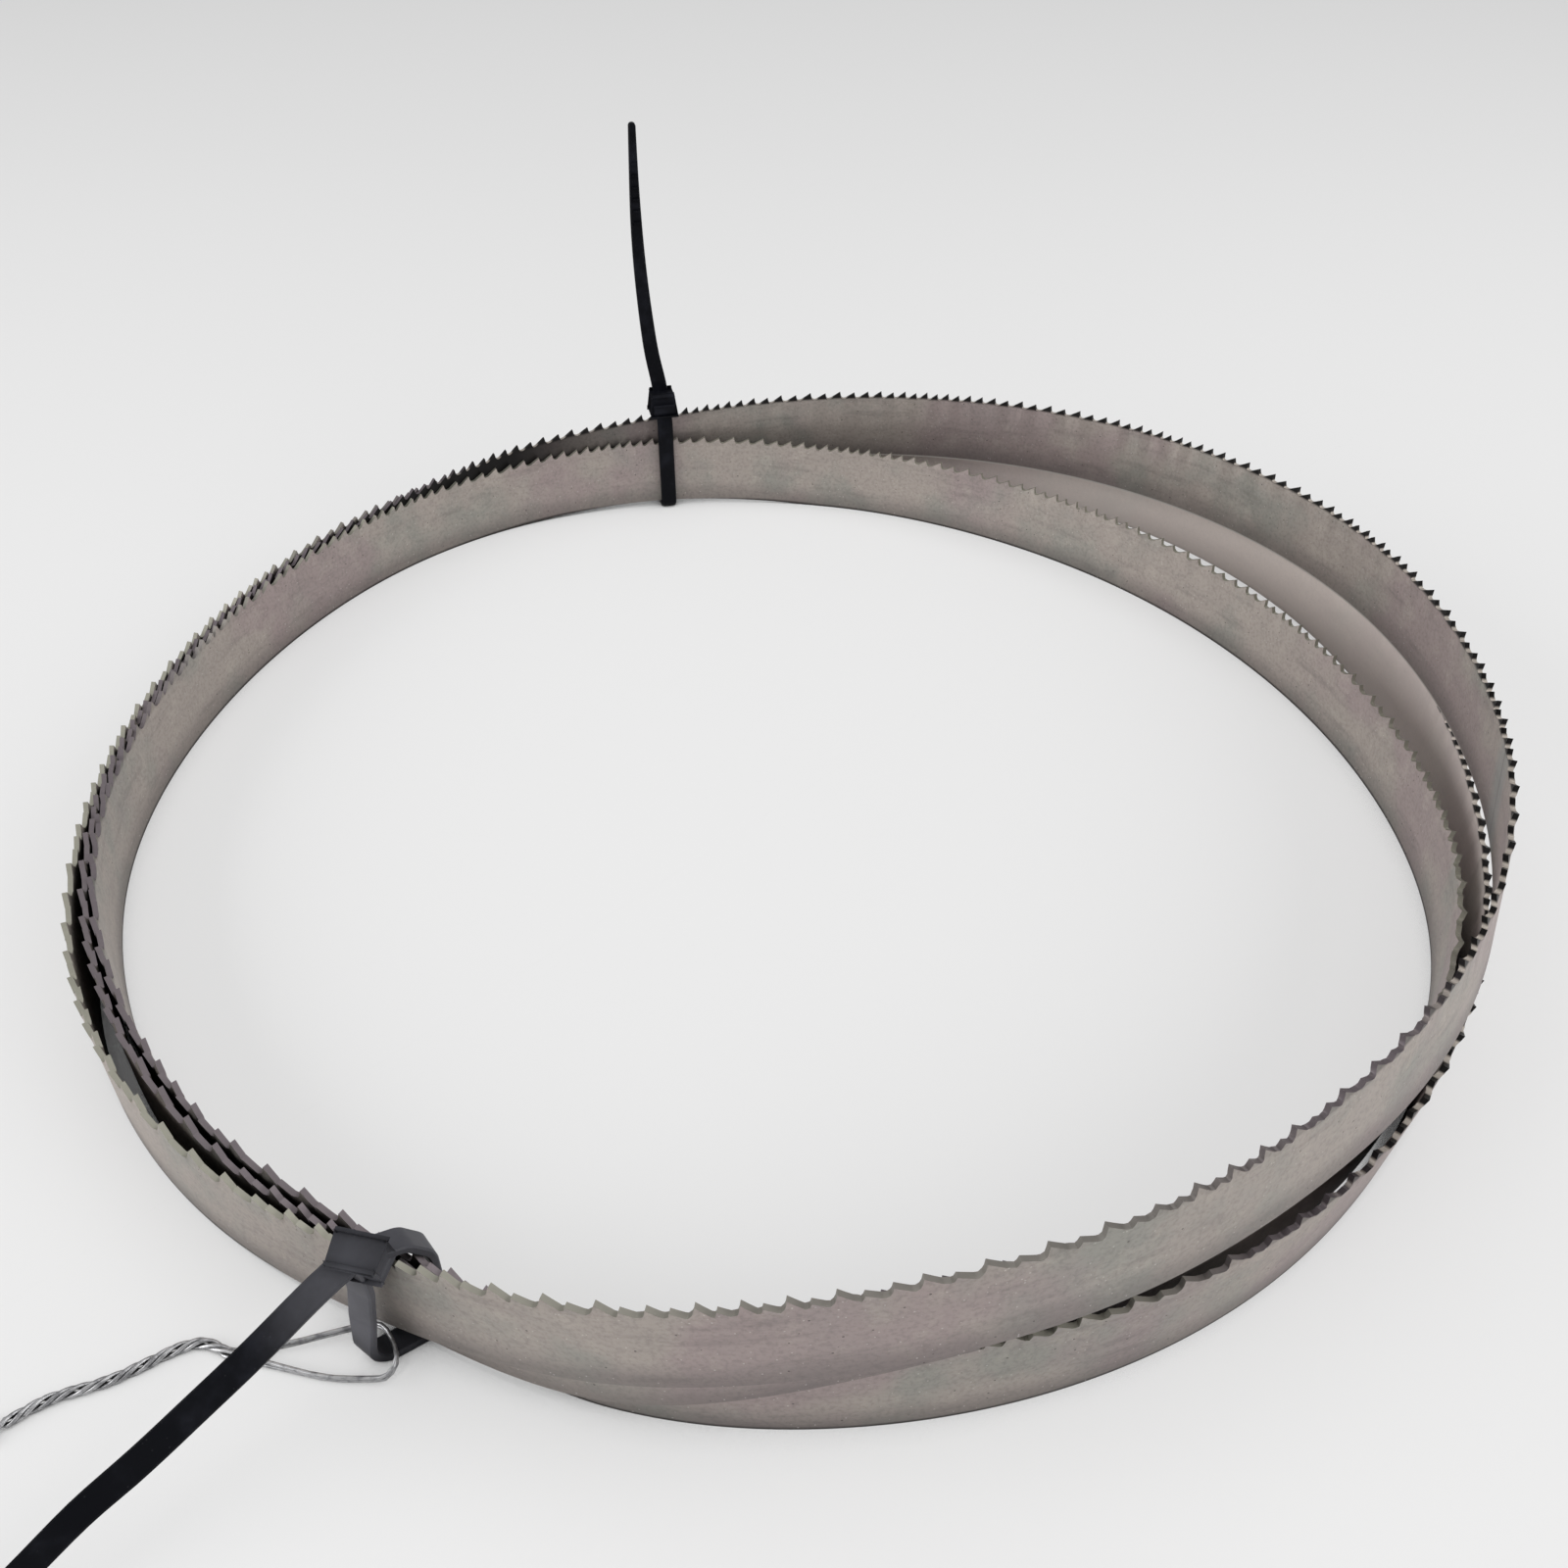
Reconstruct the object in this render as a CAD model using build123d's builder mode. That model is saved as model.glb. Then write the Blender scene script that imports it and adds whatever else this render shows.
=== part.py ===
from build123d import *
import math
import os

# Sizes in millimetres. The blade lies coiled on its smooth spine at z = 0, teeth up.
# X is to the right, Y is to the back and the coil's centre is on the Z axis.
blade_width = 13.0
blade_thickness = 0.65
tooth_depth = 1.1
tooth_pitch = 2.453
group_teeth = 19
pitch_swing = 0.17
coil_radius = 95.0
layer_gap = 0.15
settling = 0.05

strap_width = 2.9
strap_thickness = 1.0
strap_clearance = 0.35
strap_lift = 0.25
head_width = 5.0
head_length = 5.5
head_height = 4.0

wire_diameter = 0.4
wire_lay_radius = 0.3
wire_lay_length = 6.0

# Back tie: upright loop at this bearing
back_bearing = 103
back_head_shift = -0.9

# Front tie: its loop crosses the band at a slant and stands loose above the teeth
front_bearing = -113.5
front_slant = 29
front_shift = 0.4
front_slack = 0.75
front_room = 0.7
front_tail_bearing = -138
front_tail_drop = 16
front_tail_roll = 34
front_tail_length = 48.0

# Route of the band: bearings of the stations, seen from above, each turn clockwise
bearings = (
    back_bearing, 84, 62, 40, 20, 0, -20, -40, -55, -70,
    -85, -100, front_bearing, -130, -150, -170, -190, -210, -226, -240,
)

# At each station: layers of band out from the coil's radius, and rise as a share of its width.
# Turn one is innermost at the back, turn two rides up over the others at the right
# and turn three fans out on the floor.
turn_one = (
    (2.25, 0), (-1, 0), (-5.75, 0), (-8.12, 0), (-7.87, 0),
    (-5.62, 0), (-3, 0), (-3.38, 0.062), (-2.87, 0.677), (-0.25, 1.154),
    (0.37, 0.862), (-0.88, 0.262), (-3.75, 0), (-3.75, 0), (-2.5, 0),
    (-1.75, 0), (-1, 0), (2.13, 0), (5.5, 0), (6.25, 0.177),
)
turn_two = (
    (4.5, 0.35), (6.62, 0.623), (8.87, 0.785), (7.25, 0.977), (4.88, 1.085),
    (1.88, 1.123), (0.12, 1.138), (-1.13, 1.154), (-0.88, 1.246), (1.13, 1.3),
    (1.62, 1.108), (0.45, 0.677), (-2.25, 0.165), (-1.75, 0.031), (-0.37, 0),
    (-0.37, 0), (0.12, 0), (3.63, 0), (7, 0), (7.75, 0.023),
)
turn_three = (
    (6.13, 0), (9, 0), (17.75, 0), (16.62, 0), (10.37, 0),
    (3.38, 0), (0.25, 0), (-0.25, 0), (0, 0), (-0.37, 0),
    (-1, 0), (-2.25, 0), (-5.25, 0), (-5.75, 0), (-4.5, 0),
    (-3, 0), (-2.13, 0), (0.75, 0), (4.12, 0), (5.12, 0.023),
)
turns = (turn_one, turn_two, turn_three)
layer = blade_thickness + layer_gap
up = Vector(0, 0, 1)


def on_bearing(bearing, distance, height):
    turn = math.radians(bearing)
    return Vector(distance * math.cos(turn), distance * math.sin(turn), height)


def station(bearing, layers, share):
    rise = share * blade_width
    # Over a tie the band lies on the strap
    if bearing in (back_bearing, front_bearing):
        rise += strap_thickness + strap_lift
    return on_bearing(bearing, coil_radius + layers * layer, rise)


def make_solid(faces):
    solid = Solid(Shell(faces))
    if solid.volume < 0:
        solid = Solid(Shell([-face for face in faces]))
    return solid


def flat(points):
    return Face(Wire.make_polygon(points, close=True))


# Blade: one closed band, folded at the gullet roots into short flat lengths
stations = []
for turn in turns:
    for bearing, (layers, share) in zip(bearings, turn):
        stations.append(station(bearing, layers, share))

with BuildLine() as route:
    Spline(stations, periodic=True)

route_edge = route.line.edges()[0]
loop_length = route_edge.length
tooth_groups = round(loop_length / (group_teeth * tooth_pitch))
mean_pitch = loop_length / (tooth_groups * group_teeth)


def route_point(run):
    point = route_edge.position_at((run / loop_length) % 1.0)
    return Vector(point.X, point.Y, max(point.Z - settling, 0.0))


# Tooth form as share of the pitch after the tip, and depth: the steep face, then the root
face_foot = (0.06, 0.80 * tooth_depth)
gullet_root = (0.26, tooth_depth)

tips = []
run = 0.0
for tooth in range(tooth_groups * group_teeth):
    phase = 2 * math.pi * (tooth % group_teeth) / group_teeth
    pitch = mean_pitch * (1 + pitch_swing * math.sin(phase))
    tips.append((run, pitch))
    run += pitch

# Folds: every fourth root, the last length of a group has one tooth less
folds = []
for tooth, (tip, pitch) in enumerate(tips):
    if tooth % group_teeth % 4 == 0:
        folds.append((tooth, tip + gullet_root[0] * pitch))

corners = [route_point(place) for tooth, place in folds]
count = len(corners)
half = blade_thickness / 2
headings = []
for index in range(count):
    step = corners[(index + 1) % count] - corners[index]
    headings.append(Vector(step.X, step.Y, 0).normalized())


def mitre(index):
    before = headings[index - 1]
    after = headings[index]
    side_before = Vector(-before.Y, before.X, 0)
    side_after = Vector(-after.Y, after.X, 0)
    middle = (side_before + side_after).normalized()
    return middle * (half / middle.dot(side_after))


mitres = [mitre(index) for index in range(count)]
faces = []
for index in range(count):
    following = (index + 1) % count
    start = corners[index]
    end = corners[following]
    heading = headings[index]
    side = Vector(-heading.Y, heading.X, 0) * half
    first_tooth, first_place = folds[index]
    next_place = folds[following][1] + (loop_length if following == 0 else 0.0)
    place_span = next_place - first_place
    level = Vector(end.X - start.X, end.Y - start.Y, 0).length
    last_tooth = folds[following][0] if following else len(tips)

    middle_points = []
    for tooth in range(first_tooth + 1, last_tooth + 1):
        tip, pitch = tips[tooth % len(tips)]
        if tooth == len(tips):
            tip += loop_length
        outline = [(tip, 0.0), (tip + face_foot[0] * pitch, face_foot[1])]
        if tooth < last_tooth:
            outline.append((tip + gullet_root[0] * pitch, gullet_root[1]))
        for place, depth in outline:
            share = (place - first_place) / place_span
            rise = start.Z + (end.Z - start.Z) * share
            along = start + heading * (share * level)
            middle_points.append(Vector(along.X, along.Y, rise + blade_width - depth))

    root = blade_width - gullet_root[1]
    rows = []
    for sign in (1, -1):
        low_start = start + mitres[index] * sign
        low_end = end + mitres[following] * sign
        row = [low_start + up * root]
        row += [point + side * sign for point in middle_points]
        row += [low_end + up * root, low_end, low_start]
        rows.append(row)
    left, right = rows
    faces.append(flat(left))
    faces.append(flat(right[::-1]))
    top_count = len(middle_points) + 2
    for place in range(top_count - 1):
        quad = [left[place], right[place], right[place + 1], left[place + 1]]
        if 0 < place < top_count - 2:
            faces.append(flat(quad))
        else:
            faces.append(flat([quad[0], quad[1], quad[2]]))
            faces.append(flat([quad[0], quad[2], quad[3]]))
    low = [left[-1], left[-2], right[-2], right[-1]]
    faces.append(flat([low[0], low[1], low[2]]))
    faces.append(flat([low[0], low[2], low[3]]))

with BuildPart() as blade:
    add(make_solid(faces))


# Cable ties: a strap loop round the band, a head, and the strap's free end
def strands_at(bearing):
    place = bearings.index(bearing)
    points = [station(bearing, *turn[place]) for turn in turns]
    distances = [Vector(point.X, point.Y, 0).length for point in points]
    return min(distances), max(distances), max(point.Z for point in points) + blade_width


def tie_plane(bearing, distance, slant):
    middle = on_bearing(bearing, distance, 0)
    out = math.radians(bearing - slant)
    across = Vector(math.cos(out), math.sin(out), 0)
    return Plane(origin=middle, x_dir=across, z_dir=across.cross(up))


nearest, furthest, teeth_top = strands_at(back_bearing)
back_middle = (nearest + furthest) / 2
back_half = (furthest - nearest) / 2 + half + strap_clearance
back_top = teeth_top + strap_clearance
back_plane = tie_plane(back_bearing, back_middle, 0)

# Free end of the back tie: sideways bend, height above the head, share of the strap's width
back_tail = ((0, -0.6, 0.95), (-1.6, 8.6, 0.90), (-2.5, 22.6, 0.76), (-2.7, 38.0, 0.55), (-2.4, 47.0, 0.43))

with BuildPart() as back_tie:
    with BuildSketch(back_plane):
        with Locations((0, (back_top + strap_thickness) / 2)):
            RectangleRounded(2 * (back_half + strap_thickness), back_top + strap_thickness, 1.4)
        with Locations((0, (back_top + strap_thickness) / 2)):
            RectangleRounded(2 * back_half, back_top - strap_thickness, 0.6, mode=Mode.SUBTRACT)
    extrude(amount=strap_width / 2, both=True)
    # Head, round the top of the loop
    head_foot = back_top + strap_thickness / 2
    with BuildSketch(back_plane) as back_head:
        with Locations((back_head_shift, head_foot + head_height / 2)):
            Rectangle(head_length, head_height)
        chamfer(back_head.vertices(), 0.6)
    extrude(amount=head_width / 2, both=True)
    # Free end, standing up and narrowing to its tip
    tail_base = back_plane.from_local_coords(Vector(0.65, head_foot + head_height, 0))
    tail_side = on_bearing(back_bearing - 90, 1, 0)
    for bend, height, share in back_tail:
        place = tail_base + Vector(bend, 0, height)
        with BuildSketch(Plane(origin=place, x_dir=tail_side, z_dir=up)):
            Rectangle(strap_width * share, strap_thickness)
    loft(ruled=True)

nearest, furthest, teeth_top = strands_at(front_bearing)
front_middle = (nearest + furthest) / 2 + front_shift
slant_turn = math.radians(front_slant)
front_half = (furthest - nearest) / 2 + half
front_half = front_half / math.cos(slant_turn) + strap_width / 2 * math.tan(slant_turn) + front_slack
front_top = teeth_top + front_room
front_plane = tie_plane(front_bearing, front_middle, front_slant)

# Free end of the front tie, lying outwards from the head, its broad face rolled to one side
tail_level = on_bearing(front_tail_bearing, 1, 0)
drop = math.radians(front_tail_drop)
tail_axis = tail_level * math.cos(drop) - up * math.sin(drop)
level_side = tail_axis.cross(up).normalized()
roll = math.radians(front_tail_roll)
tail_side = level_side * math.cos(roll) + level_side.cross(tail_axis) * math.sin(roll)
front_tail = ((0, 1.0), (0.6, 1.0), (0.86, 0.8), (1.0, 0.45))

with BuildPart() as front_tie:
    with BuildSketch(front_plane):
        with Locations((0, (front_top + strap_thickness) / 2)):
            RectangleRounded(2 * (front_half + strap_thickness), front_top + strap_thickness, 1.9)
        with Locations((0, (front_top + strap_thickness) / 2)):
            RectangleRounded(2 * front_half, front_top - strap_thickness, 0.9, mode=Mode.SUBTRACT)
    extrude(amount=strap_width / 2, both=True)
    # Head, on the outer shoulder of the loop
    head_middle = front_plane.from_local_coords(Vector(front_half + 0.25, front_top + 1.2, -1.1))
    with BuildSketch(Plane(origin=head_middle - tail_axis * (head_height / 2), x_dir=tail_side, z_dir=tail_axis)) as front_head:
        Rectangle(head_width, head_length)
        chamfer(front_head.vertices(), 0.6)
    extrude(amount=head_height)
    for reach, share in front_tail:
        place = head_middle + tail_axis * (reach * front_tail_length)
        with BuildSketch(Plane(origin=place, x_dir=tail_side, z_dir=tail_axis)):
            Rectangle(strap_width * share, strap_thickness)
    loft(ruled=True)

# Wire: one length bent double twice, round the foot of the front tie, then twisted on itself.
# Its points are taken from the foot of the tie's outer leg.
leg_foot = front_plane.from_local_coords(Vector(front_half + strap_thickness / 2, 0, 0))
twist_points = ((-15.5, 0.3, 0.55), (-18.5, 1.5, 0.55), (-22.5, -0.1, 0.55), (-27.8, -3.1, 0.55), (-33.2, -5.6, 0.55))
loop_points = (
    (-10.0, 0.9, 0.9), (-4.6, 2.3, 1.3), (-1.6, 2.8, 1.9), (0.15, 2.6, 2.2), (1.4, 0.8, 2.2),
    (2.3, -1.1, 1.9), (1.5, -2.7, 1.2), (-0.5, -2.5, 0.8), (-4.7, -2.4, 0.6), (-9.8, -1.1, 0.6),
)
eye_points = ((-35.9, -5.3, 0.7), (-37.6, -6.9, 0.6), (-37.2, -9.0, 0.5), (-35.2, -8.2, 0.3))
end_points = ((-36.3, -3.9, 0.5), (-34.6, -8.9, 0.4))


def wire_point(point):
    return leg_foot + Vector(*point)


with BuildLine() as twist_line:
    Spline([wire_point(point) for point in twist_points])

twist_edge = twist_line.line.edges()[0]
twist_turns = max(1, round(twist_edge.length / wire_lay_length))
twist_steps = twist_turns * 6


def strand(quarter):
    centres = []
    for step in range(twist_steps + 1):
        share = step / twist_steps
        heading = twist_edge.tangent_at(share)
        side = heading.cross(up).normalized()
        phase = math.pi / 2 * quarter + 2 * math.pi * twist_turns * share
        offset = side * math.cos(phase) + up * math.sin(phase)
        centres.append(twist_edge.position_at(share) + offset * wire_lay_radius)
    return centres


strand_gap = up * (wire_diameter / 2 + 0.03)
high_loop = [wire_point(point) + strand_gap for point in loop_points]
low_loop = [wire_point(point) - strand_gap for point in loop_points]
wire_path = [wire_point(end_points[0])] + strand(0)[::-1] + high_loop + strand(1)
wire_path += [wire_point(point) for point in eye_points]
wire_path += strand(3)[::-1] + low_loop + strand(2) + [wire_point(end_points[1])]

wire_sides = 5
rings = []
for index, point in enumerate(wire_path):
    before = wire_path[max(index - 1, 0)]
    after = wire_path[min(index + 1, len(wire_path) - 1)]
    heading = (after - before).normalized()
    side = heading.cross(up).normalized()
    other = side.cross(heading)
    ring = []
    for corner in range(wire_sides):
        angle = 2 * math.pi * corner / wire_sides
        ring.append(point + (side * math.cos(angle) + other * math.sin(angle)) * (wire_diameter / 2))
    rings.append(ring)

wire_faces = [flat(rings[0]), flat(rings[-1][::-1])]
for ring, following in zip(rings, rings[1:]):
    for corner in range(wire_sides):
        ahead = (corner + 1) % wire_sides
        wire_faces.append(flat([ring[corner], following[corner], following[ahead]]))
        wire_faces.append(flat([ring[corner], following[ahead], ring[ahead]]))

with BuildPart() as twisted_wire:
    add(make_solid(wire_faces))

blade.part.label = "blade"
back_tie.part.label = "back_tie"
front_tie.part.label = "front_tie"
twisted_wire.part.label = "twisted_wire"

os.makedirs("parts", exist_ok=True)
export_step(blade.part, "parts/blade.step")
export_step(back_tie.part, "parts/back_tie.step")
export_step(front_tie.part, "parts/front_tie.step")
export_step(twisted_wire.part, "parts/twisted_wire.step")
print("loop length", round(loop_length, 1), "mean pitch", round(mean_pitch, 3), "groups", tooth_groups)
for piece in (blade, back_tie, front_tie, twisted_wire):
    box = piece.part.bounding_box()
    print(piece.part.label, round(piece.part.volume, 1), piece.part.is_valid, box.min, box.max)
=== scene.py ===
import math
import bpy
import bmesh
import numpy as np
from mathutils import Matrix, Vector


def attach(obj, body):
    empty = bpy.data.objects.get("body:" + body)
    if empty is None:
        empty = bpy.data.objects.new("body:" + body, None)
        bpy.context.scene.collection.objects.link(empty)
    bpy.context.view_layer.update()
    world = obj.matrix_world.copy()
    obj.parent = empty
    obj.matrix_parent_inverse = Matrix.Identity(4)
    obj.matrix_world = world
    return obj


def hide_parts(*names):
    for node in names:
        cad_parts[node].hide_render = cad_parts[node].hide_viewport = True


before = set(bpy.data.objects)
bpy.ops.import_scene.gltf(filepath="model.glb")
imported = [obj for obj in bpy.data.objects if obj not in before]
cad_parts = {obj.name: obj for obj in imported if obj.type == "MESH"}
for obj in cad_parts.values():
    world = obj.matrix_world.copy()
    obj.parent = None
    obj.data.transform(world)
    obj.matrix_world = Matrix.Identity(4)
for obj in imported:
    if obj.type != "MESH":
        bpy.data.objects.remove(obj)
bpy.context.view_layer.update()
scene = bpy.context.scene
up = Vector((0, 0, 1))
mm = 0.001


def newObject(bm, name, material, node, sharpFrom):
    mesh = bpy.data.meshes.new(name)
    bm.to_mesh(mesh)
    bm.free()
    piece = bpy.data.objects.new(name, mesh)
    scene.collection.objects.link(piece)
    mesh.materials.append(material)
    mesh.polygons.foreach_set("use_smooth", [True] * len(mesh.polygons))
    mesh.set_sharp_from_angle(angle=math.radians(sharpFrom))
    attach(piece, "root")
    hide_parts(node)
    return piece


def onBearing(bearing, distance, height):
    turn = math.radians(bearing)
    return Vector((distance * math.cos(turn), distance * math.sin(turn), height))


def smoothThrough(points, closed):
    # cubic spline through the points, spaced by the straight distance between them
    pts = np.array([tuple(p) for p in points])
    if closed:
        pts = np.vstack([pts, pts[:1]])
    step = np.linalg.norm(np.diff(pts, axis=0), axis=1)
    at = np.concatenate([[0], np.cumsum(step)])
    n = len(pts)
    size = n - 1 if closed else n
    a = np.zeros((size, size))
    b = np.zeros((size, pts.shape[1]))
    for i in range(size):
        if not closed and i in (0, n - 1):
            a[i, i] = 1.0
            continue
        before, after = step[i - 1], step[i]
        last = pts[(i - 1) % size]
        a[i, (i - 1) % size] += before
        a[i, i] += 2 * (before + after)
        a[i, (i + 1) % size] += after
        b[i] = 6 * ((pts[i + 1] - pts[i]) / after - (pts[i] - last) / before)
    bend = np.linalg.solve(a, b)
    if closed:
        bend = np.vstack([bend, bend[:1]])

    def place(t):
        t = np.clip(t, 0, at[-1])
        i = np.clip(np.searchsorted(at, t, side="right") - 1, 0, len(step) - 1)
        h = step[i][:, None]
        u = (at[i + 1] - t)[:, None] / h
        v = (t - at[i])[:, None] / h
        return (u * pts[i] + v * pts[i + 1]
                + ((u ** 3 - u) * bend[i] + (v ** 3 - v) * bend[i + 1]) * h ** 2 / 6)

    return place, at[-1]


def mix(tree, factor, first, second):
    made = tree.nodes.new("ShaderNodeMix")
    made.data_type = "RGBA"
    made.clamp_factor = True
    for socket, value in ((made.inputs[0], factor), (made.inputs[6], first), (made.inputs[7], second)):
        if hasattr(value, "links"):
            tree.links.new(value, socket)
        elif isinstance(value, tuple):
            socket.default_value = (*value, 1)
        else:
            socket.default_value = value
    return made.outputs[2]


def ramp(tree, value, low, high):
    made = tree.nodes.new("ShaderNodeMapRange")
    made.interpolation_type = "SMOOTHSTEP"
    made.inputs["From Min"].default_value = low
    made.inputs["From Max"].default_value = high
    tree.links.new(value, made.inputs["Value"])
    return made.outputs["Result"]


def calc(tree, what, first, second=0.0):
    made = tree.nodes.new("ShaderNodeMath")
    made.operation = what
    for socket, value in ((made.inputs[0], first), (made.inputs[1], second)):
        if hasattr(value, "links"):
            tree.links.new(value, socket)
        else:
            socket.default_value = value
    return made.outputs[0]


def scaled(tree, value, share):
    return calc(tree, "MULTIPLY", value, share)


def below(tree, value, low, high):
    # one up to the low value, nought from the high one
    return calc(tree, "SUBTRACT", 1.0, ramp(tree, value, low, high))


def layer(tree, colour, mask, share, over):
    return mix(tree, scaled(tree, mask, share), colour, over)


def noise(tree, vector, scale, detail, rough):
    made = tree.nodes.new("ShaderNodeTexNoise")
    made.inputs["Scale"].default_value = scale
    made.inputs["Detail"].default_value = detail
    made.inputs["Roughness"].default_value = rough
    tree.links.new(vector, made.inputs["Vector"])
    return made.outputs["Fac"]


def axesOf(tree, vector):
    made = tree.nodes.new("ShaderNodeSeparateXYZ")
    tree.links.new(vector, made.inputs[0])
    return made.outputs


def stretched(tree, vector, scale):
    made = tree.nodes.new("ShaderNodeMapping")
    made.inputs["Scale"].default_value = scale
    tree.links.new(vector, made.inputs["Vector"])
    return made.outputs["Vector"]


dust = {"scale": 900, "amount": 0.1, "reach": 0.28}    # reach: a speck's size as a share of its cell


# specks and dust, for every finish
def makeSpecks():
    group = bpy.data.node_groups.new("specksOfDust", "ShaderNodeTree")
    group.interface.new_socket("Vector", in_out="INPUT", socket_type="NodeSocketVector")
    for name, value in (("Scale", dust["scale"]), ("Amount", dust["amount"])):
        socket = group.interface.new_socket(name, in_out="INPUT", socket_type="NodeSocketFloat")
        socket.default_value = value
    group.interface.new_socket("Mask", in_out="OUTPUT", socket_type="NodeSocketFloat")
    inside, outside = group.nodes.new("NodeGroupInput"), group.nodes.new("NodeGroupOutput")
    cells = group.nodes.new("ShaderNodeTexVoronoi")
    group.links.new(inside.outputs["Vector"], cells.inputs["Vector"])
    group.links.new(inside.outputs["Scale"], cells.inputs["Scale"])
    dot = calc(group, "LESS_THAN", cells.outputs["Distance"], dust["reach"])
    parts = group.nodes.new("ShaderNodeSeparateColor")
    group.links.new(cells.outputs["Color"], parts.inputs["Color"])
    chosen = calc(group, "LESS_THAN", parts.outputs[0], inside.outputs["Amount"])
    group.links.new(scaled(group, dot, chosen), outside.inputs["Mask"])
    return group


specks = makeSpecks()


def placeSpecks(tree, vector, scale, amount):
    made = tree.nodes.new("ShaderNodeGroup")
    made.node_tree = specks
    made.inputs["Scale"].default_value = scale
    made.inputs["Amount"].default_value = amount
    tree.links.new(vector, made.inputs["Vector"])
    return made.outputs["Mask"]


def newMaterial(name, metallic, specular):
    material = bpy.data.materials.new(name)
    material.use_nodes = True
    tree = material.node_tree
    shader = tree.nodes["Principled BSDF"]
    shader.inputs["Metallic"].default_value = metallic
    shader.inputs["Specular IOR Level"].default_value = specular
    place = tree.nodes.new("ShaderNodeTexCoord").outputs["Object"]
    return material, tree, shader, place


def attribute(tree, name):
    made = tree.nodes.new("ShaderNodeAttribute")
    made.attribute_name = name
    return made.outputs["Fac"]


def feed(tree, shader, socket, value):
    tree.links.new(value, shader.inputs[socket])


def closeness(tree, distance, low, high, samples):
    # nought where a neighbour stands close in front, one in the open; it masks painted shade
    made = tree.nodes.new("ShaderNodeAmbientOcclusion")
    made.samples = samples
    made.inputs["Distance"].default_value = distance
    return ramp(tree, made.outputs["AO"], low, high)


def feedRoughness(tree, shader, pattern, least, swing):
    feed(tree, shader, "Roughness", calc(tree, "ADD", scaled(tree, pattern, swing), least))


def addBump(tree, shader, height, distance, strength):
    bump = tree.nodes.new("ShaderNodeBump")
    bump.inputs["Distance"].default_value = distance
    bump.inputs["Strength"].default_value = strength
    tree.links.new(height, bump.inputs["Height"])
    feed(tree, shader, "Normal", bump.outputs["Normal"])


steel = {
    "warm": (0.395, 0.350, 0.318),
    "green": (0.318, 0.310, 0.280),
    "rose": (0.355, 0.288, 0.284),
    "pale": (0.520, 0.470, 0.420),
    "dark": (0.130, 0.115, 0.112),
    "black": (0.010, 0.009, 0.009),
    # violet and cream: painted shade and painted light on the rims of the teeth
    "violet": (0.150, 0.128, 0.140),
    "cream": (0.30, 0.295, 0.245),
    "bright": (0.74, 0.71, 0.67),
    # light: colour of the painted light on one length
    "light": (0.80, 0.72, 0.68),
    "tint": (0.27, 0.29, 0.285),
    "pit": (0.05, 0.04, 0.04),
    "metallic": 0.55,
    "specular": 0.3,
    # noise scale, detail and roughness
    "cloud": (62, 4, 0.6),
    "patch": (34, 3, 0.55),
    "small": (260, 4, 0.65),
    "smear": (1, 4, 0.65),
    "fine": (1900, 2, 0.6),
    "rolled": (1, 2, 0.5),
    "smearStretch": (60, 420, 1),
    "rolledStretch": (180, 3600, 1),
    "cloudShows": (0.45, 0.66),
    # noise value at which a pattern begins and is full, share, colour
    "patterns": {
        "patch": (0.50, 0.62, 0.80, "rose"),
        "small": (0.50, 0.70, 0.30, "pale"),
        "smear": (0.50, 0.75, 0.35, "dark"),
        "fine": (0.40, 0.75, 0.30, "dark"),
    },
    # where along the height of the band something starts and ends, and how much of it shows
    # painted shade towards the smooth edge, and a painted contact shadow along it
    "lowEdgeShade": (0.2 * mm, 5.0 * mm, 0.55),
    "contactShadow": (0.15 * mm, 0.60 * mm, 0.8),
    # a painted highlight along a raised smooth edge
    "edgeHighlight": (0.12 * mm, 0.35 * mm, 0.6),
    "hardened": (11.65 * mm, 12.2 * mm),
    "gullets": (11.95 * mm, 12.3 * mm),
    # and the same in the scene's height and depth
    "onFloor": (0.7 * mm, 1.3 * mm),
    "raised": (4.0 * mm, 7.0 * mm),
    "atBack": (-20 * mm, 20 * mm),
    # tooth shades at which a look begins and is full: dark teeth, painted shade on the rims, painted
    # highlights in the gullets
    "darkTeeth": (0.35, 0.95),
    "violetRims": (0.2, 0.6),
    "gulletHighlights": (0.72, 0.88),
    "rimShare": 0.9,
    # specks: scale, amount, share
    "brightDots": (3000, 0.03, 0.4),
    "darkDots": (2300, 0.012, 0.7),
    "dotShift": (1, 1, 1.01),
    "weld": 0.7936,          # run along the band at its weld
    "weldSlant": 0.25,
    "weldTint": (0.8 * mm, 5.0 * mm, 0.55),
    "weldSeam": (0.1 * mm, 0.4 * mm, 0.45),
    "paintedLightShare": 0.6,
    "lessMetal": 0.42,       # how much less metallic the length with painted light is
    "gap": 3.2 * mm,         # how far a spot looks for its neighbours before it counts as open
    "gapShade": (0.06, 0.52, 8),
    "roughness": (0.34, 0.25),
    "rolledDepth": (0.02 * mm, 0.6),
}


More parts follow.
